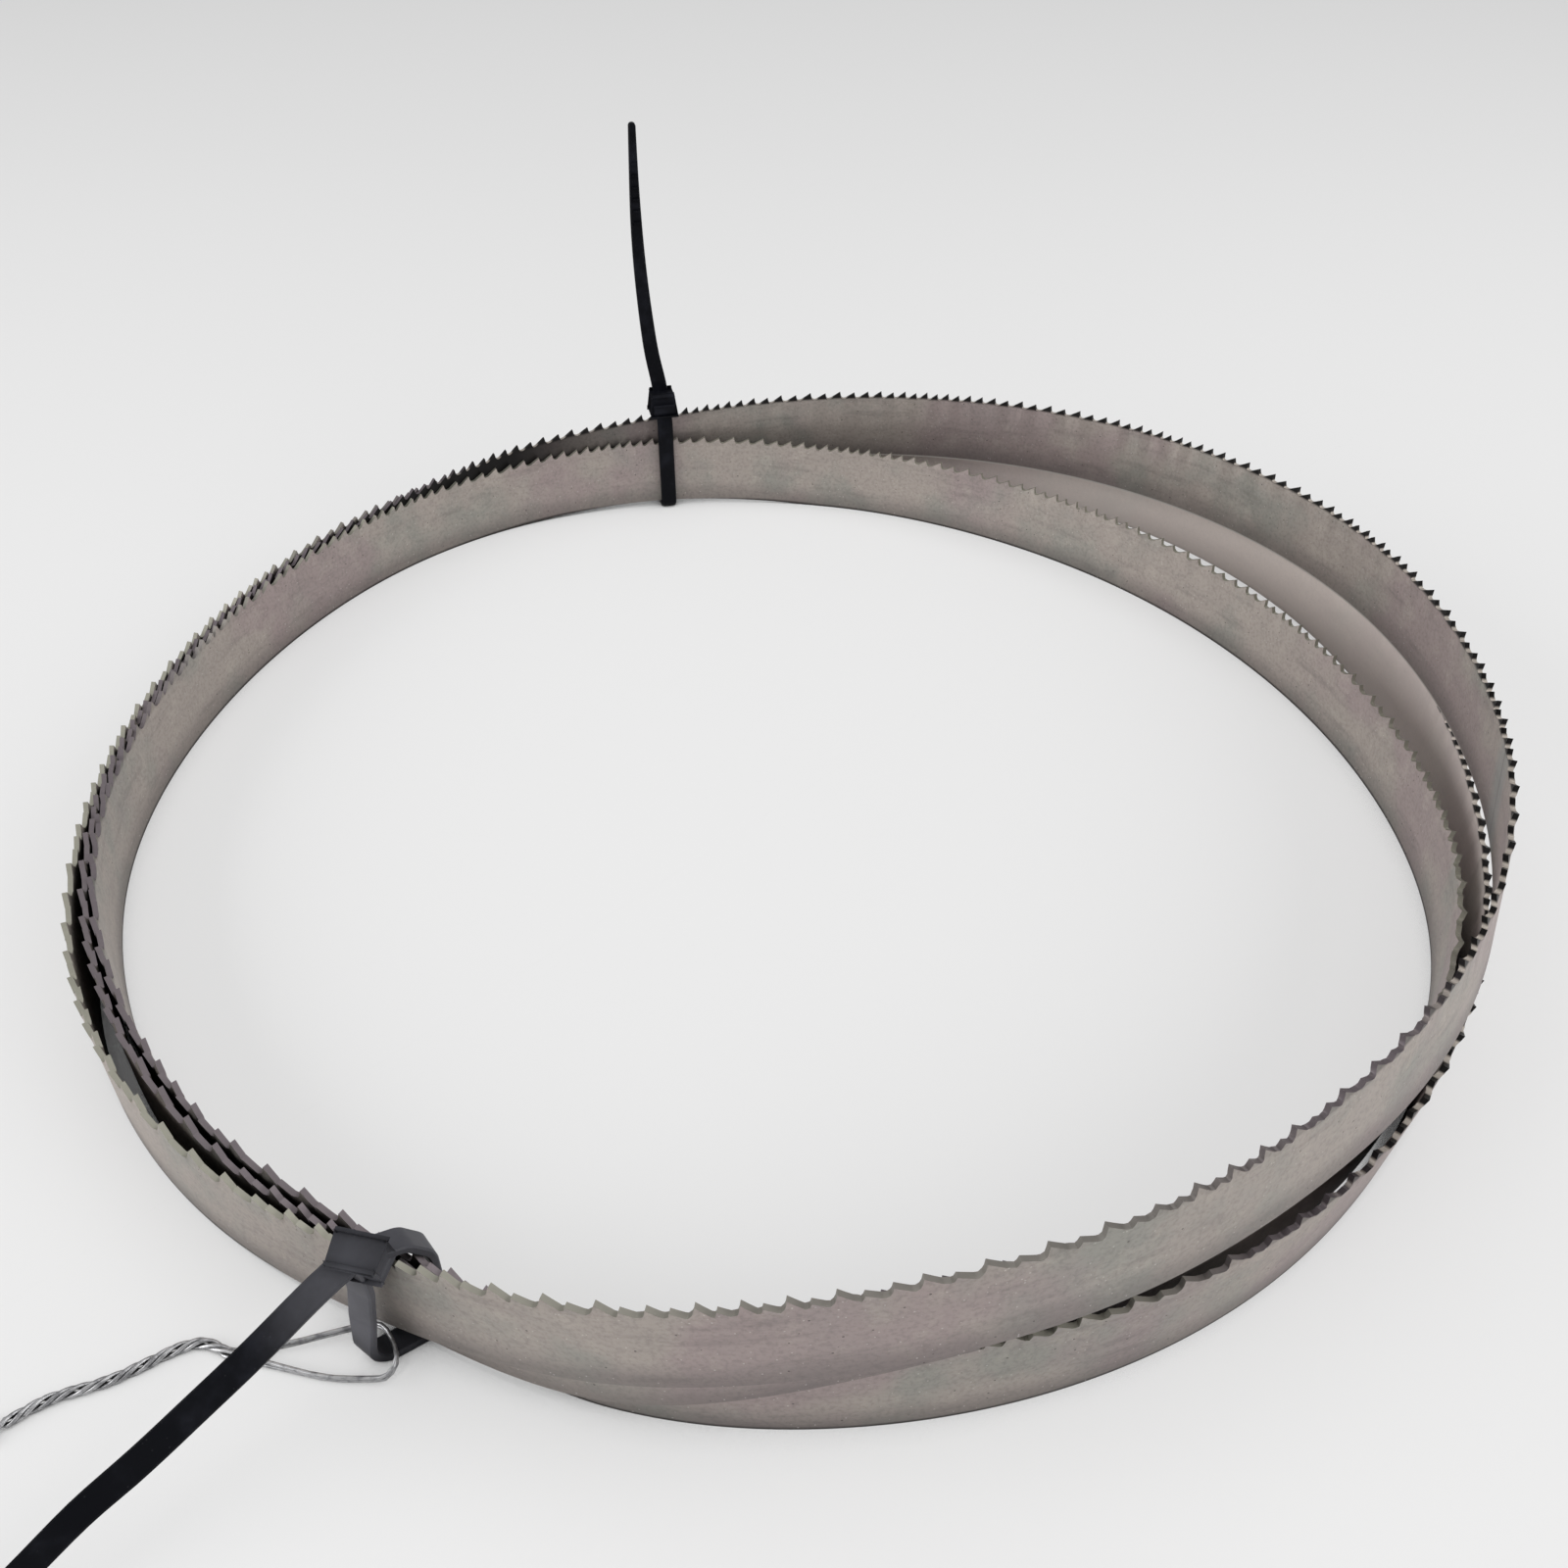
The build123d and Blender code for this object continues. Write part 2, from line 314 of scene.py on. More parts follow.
def makeSteel():
    material, tree, shader, place = newMaterial("greySteel", steel["metallic"], steel["specular"])
    uv = tree.nodes.new("ShaderNodeUVMap")
    uv.uv_map = "alongBand"
    band = uv.outputs["UV"]
    run, height = axesOf(tree, band)[:2]
    axes = axesOf(tree, place)
    # soft clouds of warm, green and rose grey, and short rolled smears
    cloud = noise(tree, place, *steel["cloud"])
    colour = mix(tree, ramp(tree, cloud, *steel["cloudShows"]), steel["warm"], steel["green"])
    patterns = {name: noise(tree, place, *steel[name]) for name in ("patch", "small", "fine")}
    patterns["smear"] = noise(tree, stretched(tree, band, steel["smearStretch"]), *steel["smear"])
    for name, (*shows, share, tint) in steel["patterns"].items():
        colour = layer(tree, colour, ramp(tree, patterns[name], *shows), share, steel[tint])
    # painted shade, darker towards the smooth edge, with a black painted contact shadow where it stands on
    # the floor
    *reach, share = steel["lowEdgeShade"]
    colour = layer(tree, colour, below(tree, height, *reach), share, steel["dark"])
    *reach, share = steel["contactShadow"]
    contactShade, grounded = below(tree, height, *reach), below(tree, axes["Z"], *steel["onFloor"])
    colour = layer(tree, colour, scaled(tree, contactShade, grounded), share, steel["black"])
    *size, share = steel["brightDots"]
    colour = layer(tree, colour, placeSpecks(tree, place, *size), share, steel["bright"])
    *size, share = steel["darkDots"]
    shifted = stretched(tree, place, steel["dotShift"])
    colour = layer(tree, colour, placeSpecks(tree, shifted, *size), share, steel["pit"])
    # heat tint on both sides of the weld, and the strip ground over it
    slanted = calc(tree, "ADD", run, scaled(tree, height, steel["weldSlant"]))
    away = calc(tree, "ABSOLUTE", calc(tree, "SUBTRACT", slanted, steel["weld"]))
    for mark, tint in (("weldTint", "tint"), ("weldSeam", "dark")):
        *reach, share = steel[mark]
        colour = layer(tree, colour, below(tree, away, *reach), share, steel[tint])
    # painted light on a less mirroring length, and painted shade where the value is below zero
    tone = attribute(tree, "tone")
    paintedLight = calc(tree, "MAXIMUM", tone, 0.0)
    paintedShade = calc(tree, "MAXIMUM", scaled(tree, tone, -1.0), 0.0)
    colour = layer(tree, colour, paintedLight, steel["paintedLightShare"], steel["light"])
    colour = mix(tree, paintedShade, colour, steel["black"])
    less = scaled(tree, paintedLight, steel["lessMetal"])
    feed(tree, shader, "Metallic", calc(tree, "SUBTRACT", steel["metallic"], less))
    # hardened teeth, partly their own dark colour and partly painted shade along some lengths, and painted
    # light and shade on the cut rims between them
    shade = attribute(tree, "toothShade")
    tooth = scaled(tree, ramp(tree, height, *steel["hardened"]), ramp(tree, shade, *steel["darkTeeth"]))
    colour = mix(tree, tooth, colour, steel["black"])
    rimLightAndShade = mix(tree, ramp(tree, shade, *steel["violetRims"]), steel["cream"], steel["violet"])
    # painted highlights in the gullets between painted black tips, on the darkest lengths only
    tipsAndGulletHighlights = mix(tree, below(tree, height, *steel["gullets"]), steel["black"], steel["pale"])
    rimLightAndShade = mix(tree, ramp(tree, shade, *steel["gulletHighlights"]), rimLightAndShade, tipsAndGulletHighlights)
    colour = layer(tree, colour, attribute(tree, "rim"), steel["rimShare"], rimLightAndShade)
    # a painted highlight along a raised smooth edge, at the back
    *reach, share = steel["edgeHighlight"]
    raised = scaled(tree, ramp(tree, axes["Z"], *steel["raised"]), ramp(tree, axes["Y"], *steel["atBack"]))
    line = scaled(tree, below(tree, height, *reach), raised)
    colour = layer(tree, colour, line, share, steel["bright"])
    # painted shade, near black, between strands that lie close
    colour = mix(tree, closeness(tree, steel["gap"], *steel["gapShade"]), steel["black"], colour)
    feed(tree, shader, "Base Color", colour)
    feedRoughness(tree, shader, patterns["small"], *steel["roughness"])
    rolled = noise(tree, stretched(tree, band, steel["rolledStretch"]), *steel["rolled"])
    addBump(tree, shader, rolled, *steel["rolledDepth"])
    return material


nylon = {
    "colour": (0.0035, 0.0038, 0.0055),
    "pale": (0.014, 0.015, 0.021),
    # dust: colour of the painted sheen by the front head
    "dust": (0.125, 0.125, 0.140),
    "dot": (0.2, 0.2, 0.21),
    "metallic": 0.0,
    "specular": 0.07,
    "worn": (160, 4, 0.6),
    "wornShows": (0.45, 0.8),
    "grain": (2600, 2, 0.5),
    "sheenSpot": (-38.6 * mm, -86.0 * mm, 10.5 * mm),    # the place by the front head where a sheen is painted
    "sheenReach": (3.0 * mm, 13.5 * mm),
    "sheenShare": (0.45, 0.8),
    "dots": (3400, 0.04, 0.05),
    "gap": 2.2 * mm,
    "gapShade": (0.15, 0.62, 8),
    "roughness": (0.27, 0.25),
    "grainDepth": (0.03 * mm, 0.5),
}


def makeNylon():
    material, tree, shader, place = newMaterial("blackNylon", nylon["metallic"], nylon["specular"])
    worn = noise(tree, place, *nylon["worn"])
    colour = mix(tree, ramp(tree, worn, *nylon["wornShows"]), nylon["colour"], nylon["pale"])
    # a painted sheen, lighter, around the front head
    away = tree.nodes.new("ShaderNodeVectorMath")
    away.operation = "DISTANCE"
    tree.links.new(place, away.inputs[0])
    away.inputs[1].default_value = nylon["sheenSpot"]
    near = below(tree, away.outputs["Value"], *nylon["sheenReach"])
    least, swing = nylon["sheenShare"]
    settled = scaled(tree, near, calc(tree, "ADD", least, scaled(tree, worn, swing)))
    colour = mix(tree, settled, colour, nylon["dust"])
    *size, share = nylon["dots"]
    colour = layer(tree, colour, placeSpecks(tree, place, *size), share, nylon["dot"])
    # painted shade, near black, in the creases and where parts lie close
    colour = mix(tree, closeness(tree, nylon["gap"], *nylon["gapShade"]), nylon["colour"], colour)
    feed(tree, shader, "Base Color", colour)
    feedRoughness(tree, shader, worn, *nylon["roughness"])
    addBump(tree, shader, noise(tree, place, *nylon["grain"]), *nylon["grainDepth"])
    return material


zinc = {
    "colour": (0.50, 0.50, 0.51),
    "dull": (0.20, 0.20, 0.21),
    "dot": (0.1, 0.1, 0.1),
    "creaseShade": (0.03, 0.03, 0.03),
    "metallic": 0.85,
    "specular": 0.5,
    "cloud": (900, 3, 0.6),
    "cloudShows": (0.4, 0.7),
    "dots": (2600, 0.08, 0.5),
    "gap": 0.5 * mm,
    "gapShade": (0.25, 0.80, 8),
    "roughness": (0.22, 0.3),
    "depth": (0.04 * mm, 0.5),
}


def makeZinc():
    material, tree, shader, place = newMaterial("zincWire", zinc["metallic"], zinc["specular"])
    cloud = noise(tree, place, *zinc["cloud"])
    colour = mix(tree, ramp(tree, cloud, *zinc["cloudShows"]), zinc["colour"], zinc["dull"])
    *size, share = zinc["dots"]
    colour = layer(tree, colour, placeSpecks(tree, place, *size), share, zinc["dot"])
    # painted shade in the creases between the strands
    colour = mix(tree, closeness(tree, zinc["gap"], *zinc["gapShade"]), zinc["creaseShade"], colour)
    feed(tree, shader, "Base Color", colour)
    feedRoughness(tree, shader, cloud, *zinc["roughness"])
    addBump(tree, shader, cloud, *zinc["depth"])
    return material


steelPaint = makeSteel()
nylonPaint = makeNylon()
zincPaint = makeZinc()
print("materials made")


blade = {
    "width": 13.0 * mm,
    "thickness": 0.65 * mm,
    "toothDepth": 1.1 * mm,
    "groups": 39,
    "groupTeeth": 19,
    "pitchSwing": 0.17,
    "straightTeeth": (0, 9),     # of each group, the others are set left and right in turn
    "toothSet": 0.26 * mm,
    "setHeight": 1.7 * mm,
    "rowHeights": (0.0, 0.5 * mm, 6.0 * mm),
    "routeSteps": 7200,
    "settled": 0.05,             # mm that the band sinks below the spline through the stations
    "headingReach": 0.6 * mm,
    "outerPaintedLight": 0.2,            # the most painted light that shows on the outer face
    "sharpFrom": 30,
    "merged": 0.01 * mm,
    "bearings": (103, 84, 62, 40, 20, 0, -20, -40, -55, -70,
                 -85, -100, -113.5, -130, -150, -170, -190, -210, -226, -240),
    # distance from the middle, height of the smooth edge, and how far the band leans inwards, in mm
    "turnOne": ((96.8, 1.25, 0), (94.2, 0, 0), (90.4, 0, 0), (88.5, 0, 0), (88.7, 0, 0),
                (90.5, 0, 0), (92.6, 0, 0), (92.3, 0.5, 0), (92.7, 5.2, 0), (93.6, 10.6, 0),
                (95.0, 10.8, 0), (94.3, 3.41, 0), (92, 1.25, 0), (91.8, 0, 0), (92.5, 0, 0),
                (93.3, 0, 0), (94.0, 0, 0), (96.6, 0.1, 0), (99.0, 0.9, 0), (99.9, 3.1, 0)),
    "turnTwo": ((98.6, 5.8, 0), (100.3, 8.1, 0), (102.1, 10.21, 0), (100.8, 12.7, 0),
                (98.9, 14.11, 0.3), (96.5, 14.6, 0.7), (95.1, 14.79, 1.6), (94.1, 15, 1.8),
                (94.3, 16.2, 0.9), (95.9, 16.9, 0.3), (96.3, 14.4, 0), (95.36, 8.8, 0),
                (93.2, 3.4, 0), (93.9, 0.4, 0), (95.0, 0, 0), (94.4, 0, 0),
                (94.9, 0, 0), (97.9, 0, 0), (100.6, 0, 0), (101.2, 0.3, 0)),
    "turnThree": ((99.9, 1.25, 0), (102.2, 0, 0), (109.2, 0, 0), (108.3, 0, -0.4), (103.3, 0, -1.2),
                  (97.7, 0, -0.9), (95.2, 0, -1.2), (94.8, 0, -1.6), (95, 0, -1.0), (94.7, 0, -0.3),
                  (94.2, 0, 0), (93.2, 0, 0), (90.8, 1.25, 0), (90.4, 0, 0), (91.2, 0, 0),
                  (92.4, 0, 0), (93.2, 0, 0), (95.6, 0, 0), (98.3, 0, 0), (99.1, 0.3, 0)),
    # how dark the hardened teeth are at each bearing: partly their own colour, partly painted shade; it
    # also sets the painted light and shade on their rims
    "shadeOne": (.2, .2, .15, .15, .15, .15, .2, .5, .6, .6,
                 .6, .6, .6, .6, .6, .6, .6, .6, .7, .9),
    "shadeTwo": (.95, .95, .95, .95, .95, .95, .95, .84, .6, .42,
                 .38, .32, .25, .15, .15, .1, .15, .3, .5, .9),
    "shadeThree": (.95, .9, .6, .7, .95, .98, .98, .98, .7, .3,
                   .3, .5, .6, .6, .65, .65, .5, .3, .2, .2),
    # painted light (above nought) and painted shade (below) along each turn
    "toneOne": {16: -0.4, 17: -1.0, 18: -1.0, 19: -1.0},
    "toneTwo": {0: -0.35, 1: -0.15, 2: -0.1},
    "toneThree": {0: -0.6, 1: -0.1, 2: 0.9, 3: 1.0, 4: 1.0, 5: 1.0, 6: 0.8},
    # one tooth after its tip: share of the pitch, depth below the tips, and whose set it follows
    "tooth": ((0.0, 0.0, "own"), (0.045, 0.62, "own"), (0.11, 0.93, "own"), (0.25, 1.0, "none"),
              (0.40, 0.90, "next"), (0.70, 0.46, "next")),
}


def makeRoute():
    stations = []
    for turn in ("One", "Two", "Three"):
        rows = zip(blade["bearings"], blade["turn" + turn], blade["shade" + turn])
        for index, (bearing, (distance, height, lean), shade) in enumerate(rows):
            spot = onBearing(bearing, distance, height)
            tone = blade["tone" + turn].get(index, 0)
            stations.append((spot.x, spot.y, spot.z, lean, shade, tone))
    points = np.array(stations)
    place, length = smoothThrough(points[:, :3], True)
    wholePlace, wholeLength = smoothThrough(points, True)
    share = np.linspace(0, 1, blade["routeSteps"] + 1)
    xyz = place(share * length)
    run = np.concatenate([[0], np.cumsum(np.linalg.norm(np.diff(xyz, axis=0), axis=1))])
    lean, shade, tone = wholePlace(share * wholeLength)[:, 3:].T
    xyz[:, 2] = np.maximum(xyz[:, 2] - blade["settled"], 0)
    return run * mm, xyz * mm, lean * mm, np.clip(shade, 0, 1), np.clip(tone, -1, 1)


routeRun, routePoints, routeLean, routeShade, routePaintedLightShade = makeRoute()
loopLength = routeRun[-1]
meanPitch = loopLength / (blade["groups"] * blade["groupTeeth"])
print("band loop", round(loopLength, 4), "m, mean pitch", round(meanPitch * 1000, 3), "mm")


def toothSide(tooth):
    place = tooth % blade["groupTeeth"]
    if place in blade["straightTeeth"]:
        return 0
    return 1 if (place + (place > blade["straightTeeth"][1])) % 2 else -1


def makeBlade():
    teeth = blade["groups"] * blade["groupTeeth"]
    columns, run = [], 0.0   # run along the band, depth below the tips, set to one side
    for tooth in range(teeth):
        phase = 2 * math.pi * (tooth % blade["groupTeeth"]) / blade["groupTeeth"]
        pitch = meanPitch * (1 + blade["pitchSwing"] * math.sin(phase))
        bent = {"own": toothSide(tooth), "none": 0, "next": toothSide(tooth + 1)}
        for share, depth, whose in blade["tooth"]:
            columns.append((run + share * pitch, depth * blade["toothDepth"], bent[whose]))
        run += pitch
    count = len(columns)
    thick, width = blade["thickness"], blade["width"]
    rows = (*blade["rowHeights"], width - blade["setHeight"], None)   # none: the toothed edge

    bm = bmesh.new()
    bmesh.ops.create_grid(bm, x_segments=count, y_segments=len(rows) - 1, size=1)
    runs, depths, sides = np.array(columns + [(loopLength, *columns[0][1:])]).T
    for vert in bm.verts:
        column = round((vert.co.x + 1) / 2 * count)
        row = round((vert.co.y + 1) / 2 * (len(rows) - 1))
        high = width - depths[column] if rows[row] is None else rows[row]
        vert.co = (runs[column], 0, high)
    # the strip gets its thickness, and its two open ends meet in the loop
    made = bmesh.ops.extrude_face_region(bm, geom=bm.faces[:])
    moved = [g for g in made["geom"] if isinstance(g, bmesh.types.BMVert)]
    bmesh.ops.translate(bm, verts=moved, vec=(0, thick, 0))
    bmesh.ops.translate(bm, verts=bm.verts, vec=(0, -thick / 2, 0))
    ends = [f for f in bm.faces if all(abs(v.co.x - f.verts[0].co.x) < 1e-9 for v in f.verts)]
    bmesh.ops.delete(bm, geom=ends, context="FACES")

    bandMap = bm.loops.layers.uv.new("alongBand")
    rim = bm.faces.layers.float.new("rim")
    for face in bm.faces:
        oneSided = all(v.co.y > 0 for v in face.verts) or all(v.co.y < 0 for v in face.verts)
        face[rim] = 0.0 if oneSided else 1.0
        for loop in face.loops:
            loop[bandMap].uv = (loop.vert.co.x, loop.vert.co.z)
    shadeLayer = bm.verts.layers.float.new("toothShade")
    paintedLightShadeLayer = bm.verts.layers.float.new("tone")

    xs, ys, zs = np.array([tuple(v.co) for v in bm.verts]).T
    column = np.clip(np.searchsorted(runs, xs - 1e-9), 0, count)
    share = np.clip((zs - (width - blade["setHeight"])) / blade["setHeight"], 0, 1)
    ys = ys + sides[column] * blade["toothSet"] * share

    def along(run):
        return np.stack([np.interp(run, routeRun, routePoints[:, k]) for k in range(3)], axis=1)

    reach = blade["headingReach"]
    heading = along((xs + reach) % loopLength) - along((xs - reach) % loopLength)
    heading[:, 2] = 0
    heading /= np.linalg.norm(heading, axis=1)[:, None]
    # outwards, because the band runs clockwise
    aside = np.stack([-heading[:, 1], heading[:, 0], np.zeros(len(xs))], axis=1)
    lean = np.interp(xs, routeRun, routeLean)
    placed = along(xs) + aside * (ys - lean * (zs / width - 0.5))[:, None]
    placed[:, 2] += zs
    shades, paintedLightShades = np.interp(xs, routeRun, routeShade), np.interp(xs, routeRun, routePaintedLightShade)
    paintedLightShades = np.where(ys > 0, np.minimum(paintedLightShades, blade["outerPaintedLight"]), paintedLightShades)
    for vert, co, shade, tone in zip(bm.verts, placed, shades, paintedLightShades):
        vert.co = co
        vert[shadeLayer] = shade
        vert[paintedLightShadeLayer] = tone
    bmesh.ops.remove_doubles(bm, verts=bm.verts, dist=blade["merged"])
    bmesh.ops.recalc_face_normals(bm, faces=bm.faces)
    return newObject(bm, "sawBlade", steelPaint, "blade", blade["sharpFrom"])


sawBlade = makeBlade()
print("blade made,", len(sawBlade.data.polygons), "faces")


easedBy = 0.18 * mm      # how far the long edges of a strap are eased


def strapSection(bm, centre, across, normal, width, thick):
    half, deep = width / 2, thick / 2
    inner, low = half - easedBy, deep - easedBy
    corners = ((inner, deep), (-inner, deep), (-half, low), (-half, -low),
               (-inner, -deep), (inner, -deep), (half, -low), (half, low))
    return [bm.verts.new(centre + across * x + normal * y) for x, y in corners]


def sweepStrap(bm, path, acrossOf, widths, thick):
    # rings along the path, bridged into one skin and capped
    rings = []
    for index, centre in enumerate(path):
        before, after = path[max(index - 1, 0)], path[min(index + 1, len(path) - 1)]
        heading = (after - before).normalized()
        across = acrossOf(index, heading)
        across = (across - heading * across.dot(heading)).normalized()
        normal = heading.cross(across).normalized()
        verts = strapSection(bm, centre, across, normal, widths[index], thick)
        edges = [bm.edges.new((verts[i - 1], verts[i])) for i in range(len(verts))]
        if rings:
            bmesh.ops.bridge_loops(bm, edges=rings[-1] + edges)
        rings.append(edges)
    for ring in (rings[0], rings[-1]):
        bmesh.ops.contextual_create(bm, geom=ring)


def rounded(corners, radius, steps):
    # an open run of straight lines with its corners rounded
    points = [corners[0]]
    for index in range(1, len(corners) - 1):
        corner = corners[index]
        back = (corners[index - 1] - corner).normalized()
        on = (corners[index + 1] - corner).normalized()
        turn = math.acos(max(-1, min(1, back.dot(on))))
        cut = radius[index] / math.tan(turn / 2)
        centre = corner + (back + on).normalized() * (radius[index] / math.sin(turn / 2))
        a, b = corner + back * cut - centre, corner + on * cut - centre
        angle = a.angle(b)
        for step in range(steps + 1):
            turned = step / steps * angle
            arm = (a * math.sin(angle - turned) + b * math.sin(turned)) / math.sin(angle)
            points.append(centre + arm)
    points.append(corners[-1])
    return points


def easedBox(bm, centre, axes, sizes, bevel, taper=1.0, slot=None):
    # a box with eased edges; a slot is sunk into the side that its last axis points to
    made = bmesh.ops.create_cube(bm, size=1)
    verts = made["verts"]
    for vert in verts:
        shrink = taper if vert.co.z > 0 else 1.0
        local = Vector((vert.co.x * sizes[0] * shrink, vert.co.y * sizes[1] * shrink, vert.co.z * sizes[2]))
        vert.co = centre + axes[0] * local.x + axes[1] * local.y + axes[2] * local.z
    edges = list({e for v in verts for e in v.link_edges})
    eased = bmesh.ops.bevel(bm, geom=edges, offset=bevel, segments=3, profile=0.5,
                            affect="EDGES", material=-1)
    if slot:
        everyFace = {f for v in eased["verts"] for f in v.link_faces}
        for face in everyFace:
            face.normal_update()
        end = max(everyFace, key=lambda f: f.calc_center_median().dot(axes[2]) + f.calc_area())
        bmesh.ops.inset_individual(bm, faces=[end], thickness=slot[0])
        sunk = bmesh.ops.extrude_discrete_faces(bm, faces=[end])["faces"]
        bmesh.ops.translate(bm, verts=list({v for f in sunk for v in f.verts}), vec=axes[2] * -slot[1])


backTie = {
    "bearing": 103.0,
    "sharpFrom": 40,
    "width": 2.85 * mm,
    "thickness": 1.0 * mm,
    # middle line of the loop, in mm: distance from the coil's middle, height, radius of the corner
    "loop": ((96.53, 20.85, 0), (95.38, 17.65, 3.0), (95.63, 9.825, 9.0), (95.68, 0.5, 1.15),
             (101.07, 0.5, 1.1), (101.07, 19.65, 2.0), (97.6, 20.85, 0)),
    "loopSteps": 6,
    "headMiddle": (97.45 * mm, 21.5 * mm),
    "head": (3.95 * mm, 4.3 * mm, 3.5 * mm),
    "headBevel": 0.65 * mm,
    "headTaper": 0.78,
    "slot": (0.3 * mm, 0.7 * mm),
    # housing of the pawl, low on the head's inner side: in and down from the head, size, bevel
    "pawl": (1.9 * mm, 0.75 * mm),
    "pawlSize": (3.4 * mm, 1.2 * mm, 1.6 * mm),
    "pawlBevel": 0.3 * mm,
    # free end, in mm
    "tail": ((-22.2, 96.3, 21.5), (-22.5, 96.3, 24.5), (-23.3, 96.4, 29.0), (-24.0, 96.5, 35.0),
             (-24.7, 96.5, 46.0), (-24.9, 96.6, 54.0), (-24.8, 96.6, 63.0), (-24.6, 96.5, 70.6)),
    "tailWidths": (2.85, 2.8, 2.7, 2.55, 2.25, 2.0, 1.55, 1.25),
    "tailSteps": 30,
    "tip": ((0.3, 1.0), (0.45, 0.55)),       # rise above the last point, and width
    # grip ridges across the front of the free end
    "ridges": 6,
    "ridgeFrom": 54.4,
    "ridgeEvery": 2.0,
    "ridgeDepth": 96.5 * mm,
    "ridgeWide": 0.62,                       # share of the strap's width
    "ridgeAside": 0.1,
    "ridgeSize": (0.5 * mm, 0.36 * mm),
    "ridgeBevel": 0.08 * mm,
}


def makeBackTie():
    bm = bmesh.new()
    thick = backTie["thickness"]
    along = onBearing(backTie["bearing"] + 90, 1, 0)
    out = onBearing(backTie["bearing"], 1, 0)
    axes = (along, out, up)
    loop = backTie["loop"]
    corners = [onBearing(backTie["bearing"], corner[0] * mm, corner[1] * mm) for corner in loop]
    path = rounded(corners, [corner[2] * mm for corner in loop], backTie["loopSteps"])
    sweepStrap(bm, path, lambda i, h: along, [backTie["width"]] * len(path), thick)
    middle = onBearing(backTie["bearing"], *backTie["headMiddle"])
    easedBox(bm, middle, axes, backTie["head"], backTie["headBevel"],
             backTie["headTaper"], backTie["slot"])
    inwards, down = backTie["pawl"]
    easedBox(bm, middle - out * inwards - up * down, axes, backTie["pawlSize"], backTie["pawlBevel"])
    place, length = smoothThrough([Vector(p) * mm for p in backTie["tail"]], False)
    points = [Vector(p) for p in place(np.linspace(0, length, backTie["tailSteps"]))]
    heights = [p[2] * mm for p in backTie["tail"]]
    widths = [float(np.interp(p.z, heights, backTie["tailWidths"])) * mm for p in points]
    last = points[-1]
    points += [last + up * rise * mm for rise, width in backTie["tip"]]
    widths += [width * mm for rise, width in backTie["tip"]]
    sweepStrap(bm, points, lambda i, h: along, widths, thick)
    for ridge in range(backTie["ridges"]):
        height = (backTie["ridgeFrom"] + ridge * backTie["ridgeEvery"]) * mm
        width = float(np.interp(height, heights, backTie["tailWidths"])) * mm
        aside = float(np.interp(height, [p.z for p in points], [p.x for p in points]))
        middle = Vector((aside, backTie["ridgeDepth"], height))
        spot = middle - out * (thick / 2) - along * width * backTie["ridgeAside"]
        size = (width * backTie["ridgeWide"], *backTie["ridgeSize"])
        easedBox(bm, spot, axes, size, backTie["ridgeBevel"])
    bmesh.ops.recalc_face_normals(bm, faces=bm.faces)
    return newObject(bm, "backCableTie", nylonPaint, "back_tie", backTie["sharpFrom"])


frontTie = {
    "sharpFrom": 40,
    "width": 2.9 * mm,
    "thickness": 0.95 * mm,
    # middle line of the loop, in mm: x, y, z, radius of the corner there, bearing of the strap's width
    "loop": ((-39.3, -87.4, 18.0, 0, -30), (-39.6, -86.95, 12.5, 4.0, -25), (-40.4, -86.8, 7.5, 6.0, -22),
             (-41.2, -87.3, 0.5, 2.3, -38), (-33.9, -82.5, 0.5, 1.0, -52), (-34.0, -82.5, 13.4, 3.0, -52),
             (-35.6, -83.9, 16.5, 2.0, -52), (-38.6, -86.3, 18.0, 0, -50)),
    "loopSteps": 8,
    "blend": 0.4 * mm,       # how soon one corner's bearing gives way to the next
    "headMiddle": (-38.7 * mm, -86.8 * mm, 18.0 * mm),
    "headWide": (0.975, -0.22, 0.0),
    "headLeaving": (-0.22, -0.94, -0.26),
    "head": (4.5 * mm, 3.2 * mm, 2.9 * mm),
    "headBevel": 0.5 * mm,
    "headTaper": 0.92,
    "slot": (0.3 * mm, 0.8 * mm),
    # housing of the pawl, below the head: back and down from it, size, bevel
    "pawl": (0.3 * mm, 1.9 * mm),
    "pawlSize": (3.6 * mm, 1.2 * mm, 2.4 * mm),
    "pawlBevel": 0.3 * mm,
    # free end, in mm
    "tail": ((-38.6, -86.2, 18.3), (-41.2, -88.4, 17.3), (-47.0, -93.4, 14.0), (-53.0, -98.2, 10.6),
             (-58.3, -102.6, 8.0), (-61.3, -105.2, 6.9), (-65.4, -110.4, 5.9), (-73.2, -118.8, 5.1)),
    "tailWidths": (2.85, 2.85, 2.85, 2.85, 2.85, 2.75, 2.6, 1.35),
    "tailSteps": 32,
    # which way the free end's broad side faces, from the head to half way along
    "tailNormals": ((0.23, -0.25, 0.94), (0.23, -0.30, 0.93), (0.21, -0.48, 0.85), (0.20, -0.54, 0.82)),
}


